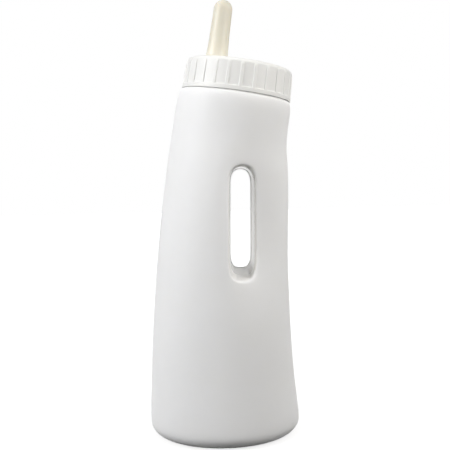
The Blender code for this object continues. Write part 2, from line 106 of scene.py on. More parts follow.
bpy.ops.object.select_all(action="DESELECT")
spot = Vector((math.sin(CAMERA_AZIMUTH), -math.cos(CAMERA_AZIMUTH), 0.0)) * CAMERA_DISTANCE
bpy.ops.object.camera_add(location=spot + Vector((CAMERA_SHIFT, 0.0, CAMERA_HEIGHT)))
camera = bpy.context.object
camera.data.lens = FOCAL_LENGTH
turn = Matrix.Rotation(CAMERA_AZIMUTH, 4, "Z") @ Matrix.Rotation(math.pi / 2 - CAMERA_PITCH, 4, "X")
camera.rotation_euler = (turn @ Matrix.Rotation(-CAMERA_ROLL, 4, "Z")).to_euler()
bpy.context.scene.camera = camera
print("camera at", [round(value, 4) for value in camera.location])

# %% [markdown]
# ## Helpers for modelling by hand
# Every new piece here starts as a primitive and is shaped in edit mode. The operators act on whatever
# is selected, so a few helpers clear the selection, open a piece and select by place or normal.

# %% Edit-mode helpers
def only(obj):
    """Selects one object alone and makes it the active one."""
    bpy.ops.object.select_all(action="DESELECT")
    obj.select_set(True)
    bpy.context.view_layer.objects.active = obj


def edit(obj):
    """Opens an object in edit mode with nothing selected."""
    only(obj)
    bpy.ops.object.mode_set(mode="EDIT")
    bpy.ops.mesh.select_all(action="DESELECT")


def select(obj, mode, test):
    """Selects the vertices, edges or faces that pass a test, and returns how many there are."""
    bpy.ops.mesh.select_mode(type=mode)
    bpy.ops.mesh.select_all(action="DESELECT")
    bm = bmesh.from_edit_mesh(obj.data)
    bm.normal_update()
    items = {"VERT": bm.verts, "EDGE": bm.edges, "FACE": bm.faces}[mode]
    found = [item for item in items if test(item)]
    for item in found:
        item.select_set(True)
    bm.select_flush_mode()
    bmesh.update_edit_mesh(obj.data)
    return len(found)


def leave_edit():
    """Goes back to object mode."""
    bpy.ops.object.mode_set(mode="OBJECT")


def apply_modifier(obj, kind, **settings):
    """Adds a modifier with its settings and applies it."""
    modifier = obj.modifiers.new(kind.title(), kind)
    for name, value in settings.items():
        setattr(modifier, name, value)
    only(obj)
    bpy.ops.object.modifier_apply(modifier=modifier.name)


def smooth(obj, degrees):
    """Shades an object smooth, apart from edges sharper than an angle."""
    only(obj)
    bpy.ops.object.shade_smooth_by_angle(angle=math.radians(degrees))


# %% [markdown]
# ## The body
# The body's solid already has the right form: the tapered bottle, the slot pinched through it and the
# leaning neck. It comes as loose flat triangles, so a copy of it is welded and its triangles are
# paired into quads again. A subdivision surface then gives the even, flowing skin of a blow-moulding.
# Modelling the form again would only risk a second, slightly different bottle.

# %% Weld a copy of the body
def welded_copy(node, name):
    """Copy of a solid whose loose triangles are joined and paired into quads."""
    obj = bpy.data.objects.new(name, frame["nodes"][node].data.copy())
    bpy.context.scene.collection.objects.link(obj)
    obj.data.materials.clear()
    edit(obj)
    bpy.ops.mesh.select_all(action="SELECT")
    bpy.ops.mesh.remove_doubles(threshold=TINY)
    bpy.ops.mesh.tris_convert_to_quads(face_threshold=math.radians(50), shape_threshold=math.radians(60))
    leave_edit()
    return obj


body = welded_copy("bottle_body", "bottle_skin")
quads = sum(len(face.vertices) == 4 for face in body.data.polygons)
print("body faces:", len(body.data.polygons), "of them quads:", quads)

# %% [markdown]
# The outside of the skin took the satin of the mould, while the inside never touched steel. They meet
# at the rim of the neck, so that rim is marked as a seam and the outside is picked as everything that
# joins on to the standing ring. The inside gets the second material slot.

# %% Tell outside from inside
NECK_FOOT = Vector((14.7 * MM, 0.0, 265.5 * MM))
NECK_LEAN = math.radians(9.0)
NECK_HEIGHT = 19.1 * MM
RIM_DEPTH = 0.2 * MM
neck_up = Vector((math.sin(NECK_LEAN), 0.0, math.cos(NECK_LEAN)))


def on_rim(face):
    """Whether a face is part of the neck's flat rim."""
    height = (face.calc_center_median() - NECK_FOOT).dot(neck_up)
    return face.normal.dot(neck_up) > 0.9 and height > NECK_HEIGHT - RIM_DEPTH


body.data.materials.append(None)
body.data.materials.append(None)
edit(body)
rim_faces = select(body, "FACE", on_rim)
bpy.ops.mesh.region_to_loop()
bpy.ops.mesh.mark_seam()
select(body, "FACE", lambda face: abs(face.calc_center_median().z) < TINY)
bpy.ops.mesh.select_linked(delimit={"SEAM"})
bpy.ops.mesh.select_all(action="INVERT")
body.active_material_index = 1
bpy.ops.object.material_slot_assign()
inside_faces = sum(face.select for face in bmesh.from_edit_mesh(body.data).faces)
print("rim faces:", rim_faces, "inside faces:", inside_faces)
select(body, "EDGE", lambda edge: edge.seam)
bpy.ops.mesh.mark_seam(clear=True)
leave_edit()

# %% [markdown]
# A broad dish thins the grip. In the photograph its slopes melt into the body, so they are drawn out
# here: each point moves along Y alone, from the solid's dish to a softer one. That keeps the wall's
# thickness and the outline of the front.

# %% Soften the dish round the grip
DISH_CENTRE = Vector((38.0 * MM, 0.0, 164.0 * MM))
DISH_POWER = 2.6
SOLID_DISH = (40.0 * MM, 62.0 * MM, 0.5, 0.22)
SOFT_DISH = (46.0 * MM, 84.0 * MM, 0.95, 0.18)


def kept_depth(point, half_width, half_height, edge, share):
    """Share of the body's depth that a dish leaves at a point of the front view."""
    across = abs(point.x - DISH_CENTRE.x) / half_width
    upright = abs(point.z - DISH_CENTRE.z) / half_height
    radius = (across ** DISH_POWER + upright ** DISH_POWER) ** (1.0 / DISH_POWER)
    slope = min(max((1.0 - radius) / edge, 0.0), 1.0)
    return 1.0 - share * slope * slope * (3.0 - 2.0 * slope)


moves = []
for vert in body.data.vertices:
    depth = vert.co.y * kept_depth(vert.co, *SOFT_DISH) / kept_depth(vert.co, *SOLID_DISH)
    moves.append(abs(depth - vert.co.y))
    vert.co.y = depth
print("largest move of a point of the dish in mm:", round(max(moves) / MM, 2))

# %% [markdown]
# The standing ring is flat and crisp, because the bottle rests on it, so an edge crease keeps it from
# being rounded away by the subdivision. The shoulder under the cap is full and close to it. Subdivision
# draws such a corner in, so its ring of points is lifted a little first. The slot's lips are eased once
# outside and inside, because a blown wall doesn't fill a tight corner.

# %% Crease and subdivide the skin
SHOULDER_LIFT = 0.35 * MM
SHOULDER_RING = (-2.1 * MM, -0.9 * MM)
SHOULDER_INNER = 42 * MM
MOUTH_CENTRE = Vector((15.8 * MM, 0.0, 167.1 * MM))
MOUTH_STRAIGHT = 33.1 * MM
LIP_REACH = ((9.4 * MM, 13.2 * MM), (9.4 * MM, 17.0 * MM))
LIP_DEPTH = 20 * MM


def on_lip(vert, side):
    """Whether a point is on the lip round the slot's mouth, on side 0, the outside, or 1, the inside."""
    if abs(vert.co.y) < LIP_DEPTH or any(face.material_index != side for face in vert.link_faces):
        return False
    beyond = max(abs(vert.co.z - MOUTH_CENTRE.z) - MOUTH_STRAIGHT, 0.0)
    low, high = LIP_REACH[side]
    return low < math.hypot(vert.co.x - MOUTH_CENTRE.x, beyond) < high


def on_shoulder(vert):
    """Whether a point is on the outer ring of the shoulder that lies just below the cap's foot."""
    aside = vert.co - NECK_FOOT
    height = aside.dot(neck_up)
    outer = (aside - neck_up * height).length > SHOULDER_INNER
    return SHOULDER_RING[0] < height < SHOULDER_RING[1] and outer


edit(body)
for side in (0, 1):
    lips = select(body, "VERT", lambda vert: on_lip(vert, side))
    bpy.ops.mesh.vertices_smooth(factor=0.5, repeat=1)
    print("points of the slot's lips that were eased on side", side, ":", lips)
lifted = select(body, "VERT", on_shoulder)
bpy.ops.transform.translate(value=neck_up * SHOULDER_LIFT)
print("points of the shoulder that were lifted:", lifted)
standing = select(body, "EDGE", lambda edge: all(abs(vert.co.z) < TINY for vert in edge.verts))
bpy.ops.transform.edge_crease(value=1.0)
leave_edit()
apply_modifier(body, "SUBSURF", levels=2, render_levels=2)
body.data.shade_smooth()
print("creased edges of the standing ring:", standing, "faces now:", len(body.data.polygons))

# %% [markdown]
# The two mould halves leave a parting line: a hair-fine ridge all round the bottle in its middle plane.
# In the slot the halves pinched the walls together, and the trimmed flash stands a little higher. The
# edges that lie in the middle plane are bevelled into a narrow band, and the band's middle is raised.

# %% Raise the parting line
PARTING_WIDTH = 0.35 * MM
PARTING_HEIGHT = 0.12 * MM
FLASH_HEIGHT = 0.25 * MM
PARTING_START = 6.0 * MM
PLANE_GAP = 0.02 * MM
SLOT_MIDDLE = Vector((16.0 * MM, 0.0, 168.6 * MM))
SLOT_REACH = (11.0 * MM, 43.0 * MM)


def outside(item):
    """Whether all the faces round an edge or a vertex are on the outside of the skin."""
    return all(face.material_index == 0 for face in item.link_faces)


def in_parting_plane(vert):
    """Whether a vertex lies in the middle plane and above the base."""
    return abs(vert.co.y) < PLANE_GAP and vert.co.z > PARTING_START


def on_flash(vert):
    """Whether a vertex of the parting line is on the pinched ring in the slot."""
    aside = vert.co - SLOT_MIDDLE
    return abs(aside.x) < SLOT_REACH[0] and abs(aside.z) < SLOT_REACH[1]


edit(body)
parting = select(body, "EDGE",
                 lambda edge: outside(edge) and all(in_parting_plane(vert) for vert in edge.verts))
bpy.ops.mesh.bevel(offset=PARTING_WIDTH, segments=2, profile=0.5, affect="EDGES")
select(body, "VERT", lambda vert: outside(vert) and in_parting_plane(vert))
bpy.ops.transform.shrink_fatten(value=PARTING_HEIGHT)
flash = select(body, "VERT", lambda vert: outside(vert) and in_parting_plane(vert) and on_flash(vert))
bpy.ops.transform.shrink_fatten(value=FLASH_HEIGHT)
leave_edit()
print("parting edges:", parting, "flash points:", flash)
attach(body, "bottle")
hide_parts("bottle_body")

# %% [markdown]
# The mould closed under the bottle too and welded the soft tube shut there. What is left is a low bead
# across the hollow of the base. It starts as a cube. Its lower side is drawn in, it gets a few cuts
# across, and its ends are narrowed, which is quicker than a profile for so small a thing.

# %% Weld bead under the base
BEAD_LENGTH = 44.0 * MM
BEAD_WIDTH = 2.4 * MM
BEAD_HEIGHT = 1.4 * MM
BEAD_SINK = 0.4 * MM
BEAD_CREST = (0.94, 0.35, 1.0)
BEAD_END = (1.0, 0.5, 1.0)
BEAD_END_START = BEAD_LENGTH * 0.45
HOLLOW = 3.0 * MM

bpy.ops.object.select_all(action="DESELECT")
bpy.ops.mesh.primitive_cube_add(size=1.0, location=(0.0, 0.0, HOLLOW + BEAD_SINK - BEAD_HEIGHT / 2),
                                scale=(BEAD_LENGTH, BEAD_WIDTH, BEAD_HEIGHT))
bead = bpy.context.object
bead.name = "base_weld_bead"
bpy.ops.object.transform_apply()
edit(bead)
select(bead, "FACE", lambda face: face.normal.z < -0.9)
bpy.ops.transform.resize(value=BEAD_CREST, center_override=(0.0, 0.0, HOLLOW))
select(bead, "EDGE", lambda edge: abs(edge.verts[0].co.x - edge.verts[1].co.x) > BEAD_LENGTH / 2)
bpy.ops.mesh.subdivide(number_cuts=7)
select(bead, "VERT", lambda vert: abs(vert.co.x) > BEAD_END_START)
bpy.ops.transform.resize(value=BEAD_END, center_override=(0.0, 0.0, HOLLOW))
leave_edit()
apply_modifier(bead, "SUBSURF", levels=2, render_levels=2)
bead.data.shade_smooth()
print("bead size in mm:", [round(side / MM, 1) for side in bead.dimensions])
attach(bead, "bottle")

# %% [markdown]
# ## Helpers for turned pieces
# The cap, the teat, the seal and the air valve are all turned shapes. Each starts as a circle, and its
# edge is extruded and scaled ring by ring along a profile, as one does by hand. That gives clean quads
# and full control over where the columns stand. Each piece is made upright and then leaned and moved
# to the foot of the neck.

# %% Draw out rings and seat on the neck
def turned_piece(name, profile, columns, closed=False, start=0.0):
    """Piece drawn out ring by ring from a circle, along a profile of radius and height."""
    radius, height = profile[0]
    fill = "NOTHING" if closed else "NGON"
    bpy.ops.object.select_all(action="DESELECT")
    bpy.ops.mesh.primitive_circle_add(vertices=columns, radius=radius, location=(0.0, 0.0, height),
                                      rotation=(0.0, 0.0, start), fill_type=fill)
    obj = bpy.context.object
    obj.name = name
    bpy.ops.object.transform_apply()
    bpy.ops.object.mode_set(mode="EDIT")
    bpy.ops.mesh.select_mode(type="EDGE")
    bpy.ops.mesh.select_all(action="SELECT")
    for next_radius, next_height in profile[1:]:
        rise = (0.0, 0.0, next_height - height)
        bpy.ops.mesh.extrude_edges_move(TRANSFORM_OT_translate={"value": rise})
        scale = next_radius / radius
        bpy.ops.transform.resize(value=(scale, scale, 1.0), center_override=(0.0, 0.0, 0.0))
        radius, height = next_radius, next_height
    if closed:
        select(obj, "EDGE", lambda edge: edge.is_boundary)
        bpy.ops.mesh.bridge_edge_loops()
    else:
        bpy.ops.mesh.edge_face_add()
    bpy.ops.mesh.select_all(action="SELECT")
    bpy.ops.mesh.normals_make_consistent(inside=False)
    leave_edit()
    return obj


def arc(middle, radius, start, end, steps):
    """Points on an arc of a profile, both ends included, with angles in degrees."""
    angles = [math.radians(start + (end - start) * step / steps) for step in range(steps + 1)]
    return [(middle[0] + radius * math.cos(a), middle[1] + radius * math.sin(a)) for a in angles]


def boolean(obj, tool, operation="DIFFERENCE"):
    """Cuts a piece with a tool, or joins the two, and deletes the tool."""
    apply_modifier(obj, "BOOLEAN", object=tool, operation=operation, solver="EXACT")
    bpy.data.objects.remove(tool)


def seat_on_neck(obj, aside=0.0):
    """Leans a piece like the neck, moves it to the neck's foot and keeps its place in its mesh."""
    lean = Matrix.Rotation(NECK_LEAN, 4, "Y")
    obj.matrix_world = Matrix.Translation(NECK_FOOT) @ lean @ Matrix.Translation((aside, 0.0, 0.0))
    only(obj)
    bpy.ops.object.transform_apply()


# %% [markdown]
# ## The threads
# The neck has one and a half turns of a right-hand thread, 6.4 mm from one turn to the next, and the cap
# has a thread that runs between them. A plane, narrowed at the thread's crest, is its section. A Screw
# modifier carries it round and up, which is what a thread is. Its ends are drawn out along the helix
# and run down into the wall, as moulded threads do, so that the cap starts easily. The bevel leaves
# needle-thin faces at these ends, and those are dissolved.

# %% Neck thread
THREAD_PITCH = 6.4 * MM
THREAD_STEPS = 72
THREAD_EDGE = 0.35 * MM
RUN_OUT = 5.0 * MM
RUN_OUT_END = (0.15, 0.15, 0.45)
NEEDLE = 0.005 * MM


def helix_direction(angle, radius):
    """Direction of a right-hand helix at an angle round its axis."""
    rise = THREAD_PITCH / (2 * math.pi * radius)
    return Vector((-math.sin(angle), math.cos(angle), rise)).normalized()


def thread(name, root, crest, foot, turns, root_width, crest_width):
    """Right-hand thread between two radii, which starts on the +X side at the height of its foot."""
    bpy.ops.object.select_all(action="DESELECT")
    bpy.ops.mesh.primitive_plane_add(size=1.0, location=((root + crest) / 2, 0.0, foot),
                                     rotation=(math.pi / 2, 0.0, 0.0))
    obj = bpy.context.object
    obj.name = name
    obj.scale = (abs(crest - root), root_width, 1.0)
    bpy.ops.object.transform_apply()
    edit(obj)
    select(obj, "VERT", lambda vert: abs(vert.co.x - crest) < abs(vert.co.x - root))
    narrow = (1.0, 1.0, crest_width / root_width)
    bpy.ops.transform.resize(value=narrow, center_override=(crest, 0.0, foot))
    bpy.ops.mesh.select_mode(type="FACE")
    bpy.ops.mesh.select_all(action="SELECT")
    bpy.ops.mesh.delete(type="ONLY_FACE")
    leave_edit()
    steps = round(THREAD_STEPS * turns)
    apply_modifier(obj, "SCREW", axis="Z", angle=2 * math.pi * turns, screw_offset=THREAD_PITCH * turns,
                   steps=steps, render_steps=steps)
    edit(obj)
    middle = foot + THREAD_PITCH * turns / 2
    bottom = (0.0, foot, -1.0)
    top = (2 * math.pi * turns, foot + THREAD_PITCH * turns, 1.0)
    for angle, height, sense in (bottom, top):
        select(obj, "EDGE", lambda edge: edge.is_boundary and (edge.verts[0].co.z - middle) * sense > 0)
        ahead = helix_direction(angle, root) * RUN_OUT * sense
        bpy.ops.mesh.extrude_edges_move(TRANSFORM_OT_translate={"value": ahead})
        sink = Vector((root * math.cos(angle), root * math.sin(angle), height)) + ahead
        bpy.ops.transform.resize(value=RUN_OUT_END, center_override=sink)
        bpy.ops.mesh.edge_face_add()
    bpy.ops.mesh.select_all(action="SELECT")
    bpy.ops.mesh.normals_make_consistent(inside=False)
    leave_edit()
    apply_modifier(obj, "BEVEL", width=THREAD_EDGE, segments=2, limit_method="ANGLE",
                   angle_limit=math.radians(30))
    edit(obj)
    bpy.ops.mesh.select_all(action="SELECT")
    bpy.ops.mesh.dissolve_degenerate(threshold=NEEDLE)
    leave_edit()
    smooth(obj, 40)
    return obj


NECK_THREAD_FOOT = 4.6 * MM
neck_thread = thread("neck_thread", root=37.7 * MM, crest=39.4 * MM, foot=NECK_THREAD_FOOT, turns=1.5,
                     root_width=3.0 * MM, crest_width=1.4 * MM)
quarter = [vert.co.z for vert in neck_thread.data.vertices if abs(vert.co.x) < 2 * MM and vert.co.y > 0]
print("lowest thread point a quarter turn on, in mm:", round(min(quarter) / MM, 2))
seat_on_neck(neck_thread)
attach(neck_thread, "bottle")

# %% [markdown]
# ## The screw cap
# The cap is one injection moulding in white polypropylene: a skirt with 26 grip ribs, a rounded
# shoulder, a flat top, the hole for the teat and the tube of the air valve. It is drawn out in 130
# columns, five for each rib, so that a rib is one column wide and the four beside it sink as a pocket
# by one inset. The mould draws off upwards, so a pocket's floor is straight and runs out at the rounded
# shoulder: its rows of points are scaled out to that line one by one. That keeps the ribs clean, where
# cutting 26 boxes would leave a patchwork. The foot slopes like the bottle's shoulder, close above it,
# and a shallow ring in the middle of the top is the mark of the mould's gate.

# %% Cap shell
CAP_HEIGHT = 23.6 * MM
CAP_CORNER = 5.0 * MM
CAP_UNDERSIDE = 21.2 * MM
CAP_RADIUS = 41.8 * MM
CAP_FOOT_RADIUS = 42.8 * MM
SKIRT = 2.0 * MM
RIBS = 26
COLUMNS_A_RIB = 5
FIRST_RIB = math.radians(-88.2)
POCKET_DEPTH = 0.8 * MM
RUN_OUT_ANGLE = 30
FOOT_DROP = 0.6 * MM
FOOT_EDGE = ((0.15 * MM, 0.2 * MM), (0.45 * MM, 0.0))
FOOT_INNER_DROP = 0.25 * MM
FOOT_INNER_EDGE = 0.4 * MM
LID_CORNER = 1.2 * MM
LID_MIDDLE = 4.0 * MM
POCKET_FLANK = 0.35 * MM
POCKET_EDGE = 0.22 * MM
POCKET_BEND = math.radians(24)
POCKET_INNER = CAP_RADIUS - 1.5 * MM
POCKET_MARGIN = 0.1 * MM
ROW_GAP = 0.2 * MM
GATE_MARK = ((0.9 * MM, 0.0), (1.0 * MM, 0.35 * MM), (2.8 * MM, 0.4 * MM), (3.4 * MM, 0.0))


def skirt_radius(height):
    """Outer radius of the cap's tapered skirt at a height."""
    share = height / (CAP_HEIGHT - CAP_CORNER)
    return CAP_FOOT_RADIUS + (CAP_RADIUS - CAP_FOOT_RADIUS) * share


corner = (CAP_RADIUS - CAP_CORNER, CAP_HEIGHT - CAP_CORNER)
run_out = arc(corner, CAP_CORNER, RUN_OUT_ANGLE, 0, 3)
POCKET = (2.7 * MM, run_out[0][1])
cap_profile = [(radius, CAP_HEIGHT - depth) for radius, depth in GATE_MARK]
cap_profile += arc(corner, CAP_CORNER, 90, RUN_OUT_ANGLE, 5) + run_out[1:]
cap_profile += [(skirt_radius(POCKET[0]), POCKET[0]), (CAP_FOOT_RADIUS, 0.0)]
cap_profile += [(CAP_FOOT_RADIUS - inwards, height - FOOT_DROP) for inwards, height in FOOT_EDGE]
inner_foot = CAP_FOOT_RADIUS - SKIRT
cap_profile += [(inner_foot + FOOT_INNER_EDGE, -FOOT_INNER_DROP)]
cap_profile += [(inner_foot, FOOT_INNER_EDGE - FOOT_INNER_DROP)]
lid_corner = (CAP_RADIUS - SKIRT - LID_CORNER, CAP_UNDERSIDE - LID_CORNER)
cap_profile += arc(lid_corner, LID_CORNER, 0, 90, 4)
cap_profile += [(LID_MIDDLE, CAP_UNDERSIDE)]
columns = RIBS * COLUMNS_A_RIB
first_column = FIRST_RIB + math.pi / columns - math.pi / 2
cap = turned_piece("cap_shell", cap_profile, columns, start=first_column)


def in_pocket(face):
    """Whether a face of the skirt lies between two ribs."""
    centre = face.calc_center_median()
    if not POCKET[0] < centre.z < POCKET[1] or face.normal.to_2d().dot(centre.to_2d()) < 0:
        return False
    share = (math.atan2(centre.y, centre.x) - FIRST_RIB) / (2 * math.pi / RIBS)
    return abs(share - round(share)) > 0.5 / COLUMNS_A_RIB


def on_pocket_edge(edge):
    """Whether an edge is a sharp bend at a pocket's rim or floor."""
    if edge.calc_face_angle(0.0) <= POCKET_BEND or edge.verts[0].co.to_2d().length <= POCKET_INNER:
        return False
    low, high = POCKET[0] - POCKET_MARGIN, POCKET[1] + POCKET_MARGIN
    return all(low < vert.co.z < high for vert in edge.verts)


def pocket_floor(height):
    """Radius of a pocket's straight floor, which meets the rounded shoulder at its upper end."""
    foot = skirt_radius(POCKET[0]) - POCKET_DEPTH
    return foot + (run_out[0][0] - foot) * (height - POCKET[0]) / (POCKET[1] - POCKET[0])


def rows_of_points(obj, gap):
    """Lowest and highest point of each row of the points that aren't hidden, from the bottom up."""
    rows = []
    for height in sorted(vert.co.z for vert in bmesh.from_edit_mesh(obj.data).verts if not vert.hide):
        if not rows or height - rows[-1][1] > gap:
            rows.append([height, height])
        rows[-1][1] = height
    return rows


edit(cap)
pockets = select(cap, "FACE", in_pocket)
bpy.ops.mesh.inset(thickness=POCKET_FLANK, depth=-POCKET_DEPTH)
bpy.ops.mesh.hide(unselected=True)
for low, high in rows_of_points(cap, ROW_GAP):
    select(cap, "VERT", lambda vert: not vert.hide and low <= vert.co.z <= high)
    reach = [vert.co.to_2d().length for vert in bmesh.from_edit_mesh(cap.data).verts if vert.select]
    scale = pocket_floor((low + high) / 2) / (sum(reach) / len(reach))
    print("pocket row at", round(low / MM, 2), "mm, points:", len(reach), "scaled by", round(scale, 4))
    bpy.ops.transform.resize(value=(scale, scale, 1.0), center_override=(0.0, 0.0, 0.0))
bpy.ops.mesh.reveal(select=False)
select(cap, "EDGE", on_pocket_edge)
bpy.ops.mesh.bevel(offset=POCKET_EDGE, segments=2, profile=0.5, affect="EDGES")
leave_edit()
print("pocket faces:", pockets, "in", RIBS, "pockets")

# %% [markdown]
# The valve's tube hangs from the underside, and the two holes go through the top. They stand off the
# cap's axis, so they are turned by themselves and joined or cut with Booleans. The drills flare at the
# top, which rounds the rims as the mould does: a bevel would trip over the short edges that a Boolean
# leaves there. Weighted normals keep the flat top's shading flat right up to its rounded edge.

# %% Tube and holes of the cap
TEAT_ASIDE = -18.8 * MM
VENT_ASIDE = 20.0 * MM
TUBE_OUTER = 5.6 * MM
TUBE_INNER = 4.0 * MM
TUBE_FOOT = CAP_UNDERSIDE - 9.0 * MM
TUBE_HEAD = CAP_UNDERSIDE + 1.0 * MM
TUBE_EDGE = 0.3 * MM
TEAT_HOLE = 6.4 * MM
VENT_HOLE = 1.5 * MM
HOLE_EDGE = 0.3 * MM
FLARE = 1.25 * HOLE_EDGE
DRILL_REACH = 3 * MM
SKIM = 0.02 * MM


def moved(obj, aside):
    """Moves a piece sideways and keeps its place in its mesh."""
    obj.location.x = aside
    only(obj)
    bpy.ops.object.transform_apply()
    return obj


tube_profile = [
    (TUBE_INNER, TUBE_HEAD), (TUBE_OUTER, TUBE_HEAD), (TUBE_OUTER, TUBE_FOOT + TUBE_EDGE),
    (TUBE_OUTER - TUBE_EDGE, TUBE_FOOT), (TUBE_INNER + TUBE_EDGE, TUBE_FOOT),
    (TUBE_INNER, TUBE_FOOT + TUBE_EDGE)]
boolean(cap, moved(turned_piece("tube", tube_profile, 48, closed=True), VENT_ASIDE), "UNION")
holes = (("teat_hole", TEAT_HOLE, TEAT_ASIDE, 64), ("vent_hole", VENT_HOLE, VENT_ASIDE, 32))
for name, radius, aside, sides in holes:
    drill = [(radius + FLARE, CAP_HEIGHT + DRILL_REACH), (radius + FLARE, CAP_HEIGHT + SKIM)]
    drill += arc((radius + HOLE_EDGE, CAP_HEIGHT - HOLE_EDGE), HOLE_EDGE, 120, 180, 2)
    drill += [(radius, CAP_UNDERSIDE - DRILL_REACH)]
    boolean(cap, moved(turned_piece(name, drill, sides), aside))
smooth(cap, 35)
apply_modifier(cap, "WEIGHTED_NORMAL", keep_sharp=True)
print("cap faces:", len(cap.data.polygons))
seat_on_neck(cap)
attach(cap, "cap")
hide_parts("screw_cap")

# %% [markdown]
# The cap's own thread is the same helix, drawn inwards from the skirt, and starts half a turn further
# round, so that it lies between the turns of the neck's thread and follows them as the cap turns.

# %% Cap thread
cap_thread = thread("cap_thread", root=40.9 * MM, crest=38.4 * MM, foot=NECK_THREAD_FOOT, turns=1.25,
                    root_width=2.6 * MM, crest_width=1.2 * MM)
only(cap_thread)
cap_thread.rotation_euler.z = math.pi
bpy.ops.object.transform_apply()
seat_on_neck(cap_thread)
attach(cap_thread, "cap")

# %% [markdown]
# ## The seal
# A flat ring of soft rubber lies between the neck's rim and the cap. Moulded rings have rounded edges
# and a fine bead on each face that bites first, so both go into its profile. A clear gap of 0.3 mm
# parts it from the neck and the cap. The same gap is left at the teat's groove and in the air valve.

# %% Seal ring
CLEAR_GAP = 0.3 * MM
SEAL_INNER, SEAL_OUTER = 34.6 * MM, 38.6 * MM
SEAL_LOW, SEAL_HIGH = NECK_HEIGHT + CLEAR_GAP, CAP_UNDERSIDE - CLEAR_GAP
SEAL_EDGE = 0.3 * MM
BITE_HEIGHT = 0.15 * MM
BITE_HALF = 0.5 * MM

middle = (SEAL_INNER + SEAL_OUTER) / 2
flat_low, flat_high = SEAL_LOW + BITE_HEIGHT, SEAL_HIGH - BITE_HEIGHT
seal_profile = [
    (SEAL_OUTER - SEAL_EDGE, flat_high), (SEAL_OUTER, flat_high - SEAL_EDGE),
    (SEAL_OUTER, flat_low + SEAL_EDGE), (SEAL_OUTER - SEAL_EDGE, flat_low),
    (middle + BITE_HALF, flat_low), (middle, SEAL_LOW), (middle - BITE_HALF, flat_low),
    (SEAL_INNER + SEAL_EDGE, flat_low), (SEAL_INNER, flat_low + SEAL_EDGE),
    (SEAL_INNER, flat_high - SEAL_EDGE), (SEAL_INNER + SEAL_EDGE, flat_high),
    (middle - BITE_HALF, flat_high), (middle, SEAL_HIGH), (middle + BITE_HALF, flat_high)]
seal = turned_piece("seal_ring", seal_profile, 128, closed=True)
smooth(seal, 50)
seat_on_neck(seal)
print("seal from", round(SEAL_LOW / MM, 2), "to", round(SEAL_HIGH / MM, 2), "mm above the cap's edge")
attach(seal, "gasket")
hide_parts("cap_gasket")

# %% [markdown]
# ## The teat
# The teat is cream rubber, moulded in two halves round a core, and pulled through its hole in the cap
# until the groove seats. It is a little cone with a round tip, a drinking hole, a collar above the cap
# and a flange below. The profile goes from the hole down the outside and back up the bore.

# %% Teat
TEAT_LENGTH = 47.7 * MM
TIP_RADIUS = 7.2 * MM
BORE = 4.9 * MM
TIP_WALL = 3.0 * MM
DRINK_HOLE = 0.8 * MM
GROOVE = 6.1 * MM
COLLAR = (9.8 * MM, CAP_HEIGHT + CLEAR_GAP, CAP_HEIGHT + 2.5 * MM)
COLLAR_FOOT = 0.2 * MM
COLLAR_ROOT = 9.0 * MM
FLANGE = (10.4 * MM, CAP_UNDERSIDE - 3.5 * MM, CAP_UNDERSIDE - CLEAR_GAP)
TEAT_SIDE = ((36.0, 7.28), (30.0, 7.4), (24.0, 7.54), (18.0, 7.7), (13.0, 7.88), (9.0, 8.1), (6.5, 8.28),
             (4.5, 8.5), (3.3, 8.7))
EDGE = 0.7 * MM

tip = (0.0, CAP_HEIGHT + TEAT_LENGTH - TIP_RADIUS)
teat_profile = arc(tip, TIP_RADIUS, 90 - math.degrees(math.asin(DRINK_HOLE / TIP_RADIUS)), 0, 14)
teat_profile += [(radius * MM, CAP_HEIGHT + height * MM) for height, radius in TEAT_SIDE]
teat_profile += [(COLLAR_ROOT, COLLAR[2])]
teat_profile += arc((COLLAR[0] - EDGE, COLLAR[2] - EDGE), EDGE, 80, 0, 4)
teat_profile += [(COLLAR[0], COLLAR[1] + COLLAR_FOOT), (COLLAR[0] - COLLAR_FOOT, COLLAR[1])]
teat_profile += [(GROOVE, COLLAR[1]), (GROOVE, FLANGE[2])]
teat_profile += arc((FLANGE[0] - EDGE, FLANGE[2] - EDGE), EDGE, 90, 0, 4)
teat_profile += arc((FLANGE[0] - EDGE, FLANGE[1] + EDGE), EDGE, 0, -90, 4)
teat_profile += arc((BORE + EDGE, FLANGE[1] + EDGE), EDGE, -90, -180, 3)
dome = (0.0, CAP_HEIGHT + TEAT_LENGTH - TIP_WALL - BORE)
teat_profile += arc(dome, BORE, 0, 90 - math.degrees(math.asin(DRINK_HOLE / BORE)), 8)
teat = turned_piece("teat_rubber", teat_profile, 64, closed=True)

# %% [markdown]
# The mould's two halves leave a fine seam up both sides of the teat. It is raised in the same way as
# the body's parting line: a bevel along the edges in the seam's plane, and its middle pushed out.

# %% Seams of the teat
SEAM_WIDTH = 0.22 * MM
SEAM_HEIGHT = 0.09 * MM
SEAM_REACH = 6.9 * MM


def on_teat_seam(vert):
    """Whether a vertex is on the outside of the teat, in the plane where the mould halves met."""
    return abs(vert.co.y) < TINY and abs(vert.co.x) > SEAM_REACH and vert.co.z > COLLAR[2]


edit(teat)
seams = select(teat, "EDGE", lambda edge: all(on_teat_seam(vert) for vert in edge.verts))
bpy.ops.mesh.bevel(offset=SEAM_WIDTH, segments=2, profile=0.5, affect="EDGES")
select(teat, "VERT", on_teat_seam)
bpy.ops.transform.shrink_fatten(value=SEAM_HEIGHT)
leave_edit()
smooth(teat, 50)
seat_on_neck(teat, TEAT_ASIDE)
print("seam edges of the teat:", seams, "height in mm:", round(teat.dimensions.z / MM, 1))
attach(teat, "cap")
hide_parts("teat")

# %% [markdown]
# ## The air valve
# A plug is pressed into the foot of the tube and carries the ball. Air passes through a cross of slots
# in the plug, round the ball and out of its seat. The plug is turned, and two bars cut the cross.

